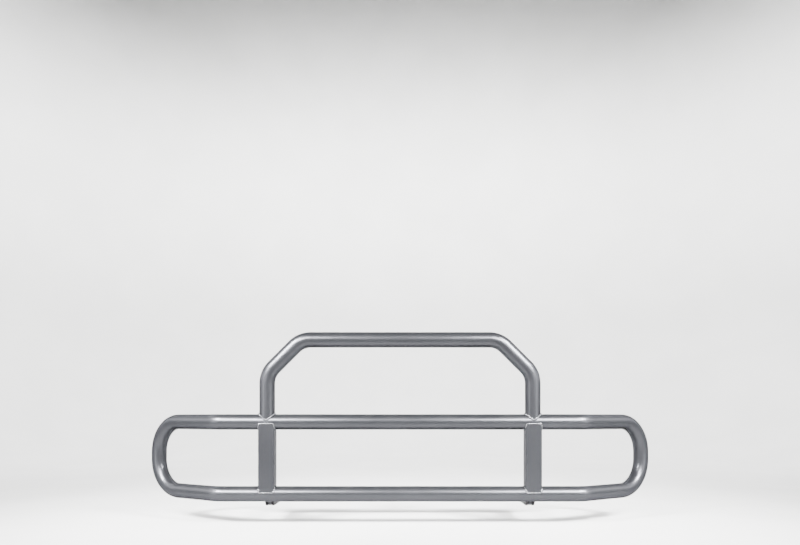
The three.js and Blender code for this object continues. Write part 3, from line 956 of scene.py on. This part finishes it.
housing_profile = [(GAP, HOUSING_BORE), (GAP, HOUSING_R), (HOUSING_LENGTH, HOUSING_R),
                   (HOUSING_LENGTH, HOUSING_BORE)]
cap_far = HOUSING_LENGTH + CAP_LENGTH
cap_profile = [(HOUSING_LENGTH + GAP, ROD_R + GAP), (HOUSING_LENGTH + GAP, HOUSING_R),
               (cap_far - 0.0045, HOUSING_R), (cap_far - 0.004, HOUSING_R - 0.0008),
               (cap_far - 0.003, HOUSING_R - 0.0008), (cap_far - 0.0025, HOUSING_R),
               (cap_far - 0.002, HOUSING_R), (cap_far, HOUSING_R - 0.002), (cap_far, ROD_R + GAP)]
pin_profile = [(-LATCH_TIP, 0), (-LATCH_TIP, PIN_R - 0.002), (0.002 - LATCH_TIP, PIN_R),
               (COLLAR_AT, PIN_R), (COLLAR_AT, HOUSING_BORE - GAP),
               (COLLAR_AT + COLLAR_T, HOUSING_BORE - GAP), (COLLAR_AT + COLLAR_T, ROD_R),
               (KNOB_AT + KNOB_LENGTH / 2, ROD_R), (KNOB_AT + KNOB_LENGTH / 2, 0)]


def knob_profile():
    outside = [(0, 0.50), (0.02, 0.55), (0.26, 0.54), (0.33, 0.60), (0.39, 0.78), (0.44, 0.93),
               (0.50, 0.99), (0.56, 1.0), (0.74, 1.0), (0.82, 0.97), (0.90, 0.87), (0.95, 0.70),
               (0.98, 0.45), (0.995, 0.2), (1.0, 0)]
    shell = [(KNOB_AT + u * KNOB_LENGTH, r * KNOB_R) for u, r in outside]
    bore_end = KNOB_AT + KNOB_LENGTH / 2 + GAP
    return [(KNOB_AT, ROD_R + GAP), *shell, (bore_end, 0), (bore_end, ROD_R + GAP)]


def knob_scallops(along, a):
    """How far the knob's radius shrinks: the scallops fade in past its neck and out at its top."""
    share = (along - KNOB_AT) / KNOB_LENGTH
    fade_in = min(1, max(0, (share - 0.36) / 0.12))
    fade_out = min(1, max(0, (0.97 - share) / 0.15))
    return 1 - SCALLOP_DEPTH * fade_in * fade_out * (0.5 + 0.5 * cos(SCALLOPS * a)) ** 2


def spring_shape(origin, toward):
    start = COLLAR_AT + COLLAR_T + 0.0006 + WIRE_R
    end = HOUSING_LENGTH - 0.0003 - WIRE_R
    slope = (end - start) / (COILS * 2 * pi * COIL_R)
    run = PipeRun(origin, X)
    run.points, run.headings = [], []
    for i in range(COILS * 36 + 1):
        a = 2 * pi * i / 36
        along = start + (end - start) * i / (COILS * 36)
        run.points.append(origin + Vector((toward * along, COIL_R * cos(a), COIL_R * sin(a))))
        run.headings.append(Vector((toward * slope, -sin(a), cos(a))).normalized())
    return loft(pipe_rings(run, Y, WIRE_R, 10))


for hand, side in (("left", -1), ("right", 1)):
    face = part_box(f"{hand}_inner_cheek")[0 if side > 0 else 1].x
    origin = Vector((face, LATCH.y, LATCH.z))
    inward, latch = -side, f"{hand}_latch"
    barrel = turned(eased(housing_profile), origin, inward)
    lid = turned(eased(cap_profile, 0.0003), origin, inward)
    plunger = turned(eased(pin_profile), origin, inward)
    for name, shape, body, finish, slot, node in (
        ("barrel", barrel, "bracket", black_coat, "bracket_coat", "housing"),
        ("lid", lid, "bracket", zinc, "zinc_plate", "cap"),
        ("plunger", plunger, latch, zinc, "zinc_plate", "pin"),
    ):
        piece(f"{hand}_latch_{name}", shape, body, finish, (f"{hand}_latch_{node}",))
    shape = turned(knob_profile(), origin, inward, 96, knob_scallops)
    piece(f"{hand}_knob", shape, latch, plastic, (f"{hand}_latch_knob",), 60)
    shape = spring_shape(origin, inward)
    node = f"{hand}_latch_spring"
    piece(f"{hand}_spring", shape, "bracket", spring_steel, (node,))
    print(hand, "latch at x", round(face, 4))

# %% [markdown]
# ## Rubber pads
#
# A rubber block under each locking heel takes the rattle out of the locked guard. It has soft
# moulded edges and two grooves across its top, where it can squeeze.

# %% Bump pads
PAD_CORNER = 0.0012
GROOVE_DEPTH, GROOVE_REACH = 0.0012, 0.0022


def pad_shape(node):
    centre = middle(node)
    width, length, height = size(node)
    outline = rounded_square(length, height, min(PAD_CORNER, height / 3), 4, 24)
    ring_points = []
    for u, v, nu, nv in outline:
        near = min(abs(abs(u) - length / 6) / GROOVE_REACH, 1)
        dip = GROOVE_DEPTH * cos(near * pi / 2) ** 2 if nv > 0.9 else 0
        ring_points.append((u, v - dip, nu, nv))
    half = width / 2
    steps = ((-half, 0.0009), (0.0003 - half, 0.0003), (0.0009 - half, 0),
             (half - 0.0009, 0), (half - 0.0003, 0.0003), (half, 0.0009))
    return loft([box_ring(ring_points, inset,
                          lambda u, v: (centre.x + w, centre.y + u, centre.z + v))
                 for w, inset in steps])


for hand in ("left", "right"):
    node = f"{hand}_bump_pad"
    piece(f"{hand}_pad", pad_shape(node), "bracket", rubber, (node,), 60)
    print(node, [round(v * 1000, 1) for v in size(node)])

# %% [markdown]
# ## Welds of the bracket
#
# The swing arms are welded to the backs of the uprights, the cheeks to the cross member, the
# stubs to the cross member and the flanges, and each latch barrel to its cheek. All are fillet
# welds: the bead fills the corner between two faces and bulges away from it.

# %% Fillet welds
ARM_BEAD, BRACKET_BEAD, BARREL_BEAD = 0.0036, 0.003, 0.0026
SEAM_END = 0.004
ARM_SEAM_LOW, ARM_SEAM_TOP = 0.022, 0.002
FLOOR_CLEAR = 0.005


def straight_seam(start, end, lift):
    return [Vector(start), Vector(end)], [Vector(lift).normalized()] * 2


def stub_seam(hand, y, lean):
    """Up one side of a stub, over its top and down the other; its underside stays clear."""
    node = f"{hand}_horn_stub"
    stub = middle(node)
    outline = rounded_square(size(node).x, size(node).z, TUBE_CORNER)
    outline = [p for p in outline if p[1] > FLOOR_CLEAR - size(node).z / 2]
    outline.sort(key=lambda p: atan2(p[0], p[1]))
    points = [Vector((stub.x + u, y, stub.z + v)) for u, v, _, _ in outline]
    lifts = [Vector((nu, lean, nv)).normalized() for _, _, nu, nv in outline]
    return points, lifts


def barrel_seam(face, inward):
    points, lifts = [], []
    for i in range(72):
        a = 2 * pi * i / 72
        around = Vector((0, cos(a), sin(a)))
        points.append(Vector((face, LATCH.y, LATCH.z)) + around * HOUSING_R)
        lifts.append((around + X * inward).normalized())
    return points, lifts


crossbar_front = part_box("crossbar")[0].y
crossbar_seam = SEAM_END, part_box("crossbar")[1].z - SEAM_END
for hand, side in (("left", -1), ("right", 1)):
    x = side * POST_X
    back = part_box(f"{hand}_upright")[1].y
    arm_seam = LOWER_Z + ARM_SEAM_LOW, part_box(f"{hand}_swing_plate")[1].z - ARM_SEAM_TOP
    shapes = []
    for s in (-1, 1):
        start, end = ((x + s * SWING_T / 2, back, z) for z in arm_seam)
        shapes.append(bead_shape(*straight_seam(start, end, (s, 1, 0)), ARM_BEAD))
    piece(f"{hand}_arm_welds", join(*shapes), "guard", weld_coat, crease=60)
    shapes = []
    for where in ("inner", "outer"):
        low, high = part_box(f"{hand}_{where}_cheek")
        for face, s in ((low.x, -1), (high.x, 1)):
            start, end = ((face, crossbar_front, z) for z in crossbar_seam)
            shapes.append(bead_shape(*straight_seam(start, end, (s, -1, 0)), BRACKET_BEAD))
    low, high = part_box(f"{hand}_horn_stub")
    shapes += [bead_shape(*stub_seam(hand, y, lean), BRACKET_BEAD)
               for y, lean in ((low.y, 1), (high.y, -1))]
    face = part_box(f"{hand}_inner_cheek")[0 if side > 0 else 1].x
    shapes.append(bead_shape(*barrel_seam(face, -side), BARREL_BEAD, closed=True))
    name = f"{hand}_bracket_welds"
    piece(name, join(*shapes), "bracket", black_coat, crease=60)
    print(hand, "fillets:", len(shapes) + 2)

# %% [markdown]
# ## Floor
#
# On a truck the guard hangs on the frame, with free space beneath it, and it needs that space:
# the open guard's lower rail swings 77 mm below the bracket. So the pale studio floor lies a
# little deeper than that. It is round and curves up into a wall, which leaves no edge in any
# view, as a photographer's paper roll does.

# %% Studio floor
STUDIO_R, STUDIO_HEIGHT, STUDIO_CURVE = 7.5, 9.0, 2.0
FLOOR_Z = -0.08
PAPER = (0.42, 0.42, 0.417), (0.45, 0.45, 0.447)


def studio_shape(sides=96):
    profile = [(r, 0.0) for r in (0.6, 1.5, 3.0, 4.5, STUDIO_R - STUDIO_CURVE)]
    for i in range(1, 17):
        a = i * pi / 32
        profile.append((STUDIO_R - STUDIO_CURVE * (1 - sin(a)), STUDIO_CURVE * (1 - cos(a))))
    profile.append((STUDIO_R, STUDIO_HEIGHT))
    turns = [2 * pi * k / sides for k in range(sides)]
    rings = [[(r * cos(a), r * sin(a), FLOOR_Z + z) for a in turns] for r, z in profile]
    points, faces = loft(rings, caps=False)
    return points, [*faces, tuple(reversed(range(sides)))]


mesh = bpy.data.meshes.new("studio_floor")
points, faces = studio_shape()
mesh.from_pydata(points, [], faces)
tidy_mesh(mesh)
mesh.flip_normals()
mesh.shade_smooth()
paper = Finish("studio_paper", (0.43, 0.43, 0.425), 0.85, 0)
paper.colour(paper.mix(paper.band(paper.noise(0.6, 3), 0.3, 0.7), *PAPER))
paper.roughness(paper.band(paper.noise(0.04, 3), 0.3, 0.7, 0.8, 0.9))
mesh.materials.append(paper.material)
studio_floor = bpy.data.objects.new("studio_floor", mesh)
bpy.context.scene.collection.objects.link(studio_floor)
print("floor", round(-FLOOR_Z * 1000), "mm below the guard")

# %% [markdown]
# ## Lights
#
# What a satin metallic coat shows is mostly the lights' reflection, and a pipe shows a light as a
# line along its length. A ring of wide soft lights, a third of the way up, draws the even line
# along the rails. Two stronger pairs stand further out and brighten it near the ends and on the
# bends. Their beams are kept narrow, as with a honeycomb grid, so that they leave the floor
# alone: a bright floor would wash out the dark undersides. A low pair at the sides edges the
# upright pipes, and lamps behind the guard light only the wall.

# %% Lights
LIT = Vector((0, -0.2, 0.4))
RING = ((0, 33, 18), (44, 31, 26), (-44, 31, 26), (88, 16, 40), (-88, 16, 40))
WALL = ((180, 1300), (120, 1000), (-120, 1000), (60, 600), (-60, 600), (0, 350))
AIR_COLOUR, AIR_STRENGTH = (0.98, 0.99, 1.0), 0.45


def around(azimuth, elevation, distance):
    """A place round the guard's middle: azimuth from straight in front, towards +X."""
    a, e = radians(azimuth), radians(elevation)
    return Vector((sin(a) * cos(e), -cos(a) * cos(e), sin(e))) * distance + LIT


def soft_light(name, place, aim, width, height, power, spread=180):
    data = bpy.data.lights.new(name, "AREA")
    data.shape = "RECTANGLE"
    data.size, data.size_y = width, height
    data.energy = power
    data.spread = radians(spread)
    light = bpy.data.objects.new(name, data)
    light.location = place
    light.rotation_euler = (Vector(aim) - Vector(place)).to_track_quat("-Z", "Y").to_euler()
    light.visible_camera = False
    bpy.context.scene.collection.objects.link(light)


for azimuth, elevation, power in RING:
    soft_light(f"ring_{azimuth}", around(azimuth, elevation, 3.3), LIT, 2.3, 0.8, power)
for hand, side in (("left", -1), ("right", 1)):
    low_end, high_end = (side * 0.8, -0.2, 0.3), (side * 0.8, -0.1, 0.4)
    post = (side * 0.3, -0.2, 0.4)
    soft_light(f"{hand}_spot", around(side * 31, 31, 3.2), low_end, 1.1, 0.8, 66, 60)
    soft_light(f"{hand}_far", around(side * 47, 35, 6.0), high_end, 1.3, 1.3, 200, 40)
    soft_light(f"{hand}_side", around(side * 58, 4, 3.4), post, 0.6, 1.2, 36)
for azimuth, power in WALL:
    out = Vector((sin(radians(azimuth)), -cos(radians(azimuth)), 0))
    place, aim = out * 4.6 + Z * 4.8, out * STUDIO_R + Z * 1.2
    soft_light(f"wall_{azimuth}", place, aim, 4.5, 1.0, power)
world = bpy.data.worlds.new("studio_air")
world.use_nodes = True
air = world.node_tree.nodes["Background"]
air.inputs["Color"].default_value = (*AIR_COLOUR, 1)
air.inputs["Strength"].default_value = AIR_STRENGTH
bpy.context.scene.world = world
print("studio ready")
